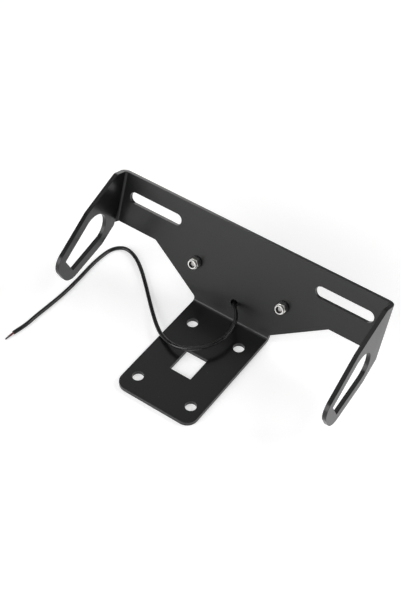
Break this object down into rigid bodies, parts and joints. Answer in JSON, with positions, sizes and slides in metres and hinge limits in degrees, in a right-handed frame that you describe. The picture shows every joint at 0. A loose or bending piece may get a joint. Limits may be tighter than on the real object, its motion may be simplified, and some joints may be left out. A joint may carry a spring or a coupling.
{
  "type": "license plate lamp bracket",
  "caption": "Folded black sheet bracket that bolts under a motorbike's tail and carries the number plate, a plate lamp with its cable, and turn signals on slotted side wings.",
  "frame": {"origin": "centre of the four bolt holes in the flange, on the seat face of the flange that meets the bike's tail", "axes": "+X across the bracket from wing to wing, -Y towards the flange's free end, +Z out of the flange on the side that the plate and the wings stand on; -Z is the way the tail lies"},
  "size_m": [0.2174, 0.1319, 0.0685],
  "materials": {
    "coated_steel": "black powder coat, fine grain, satin",
    "gasket_rubber": "matt",
    "lamp_plastic": "moulded, fine texture",
    "lamp_clear": "clear",
    "board_green": "solder mask",
    "led_yellow": "gloss",
    "screw_steel": "zinc plated",
    "washer_steel": "black oxide",
    "nut_steel": "bright zinc",
    "insert_nylon": "satin",
    "cable_jacket": "satin",
    "core_red": "satin",
    "core_black": "satin",
    "conductor": "bare tinned strand"
  },
  "bodies": {
    "root": {"bracket": "coated_steel", "lamp_gasket": "gasket_rubber", "lamp_housing": "lamp_plastic", "lamp_board": "board_green", "lamp_leds": "led_yellow", "lamp_lens": "lamp_clear", "lamp_screws": "screw_steel", "washers": "washer_steel", "lock_nuts": "nut_steel", "nut_inserts": "insert_nylon", "cable_jacket": "cable_jacket", "cable_core_red": "core_red", "cable_core_black": "core_black", "cable_conductors": "conductor"}
  },
  "joints": []
}
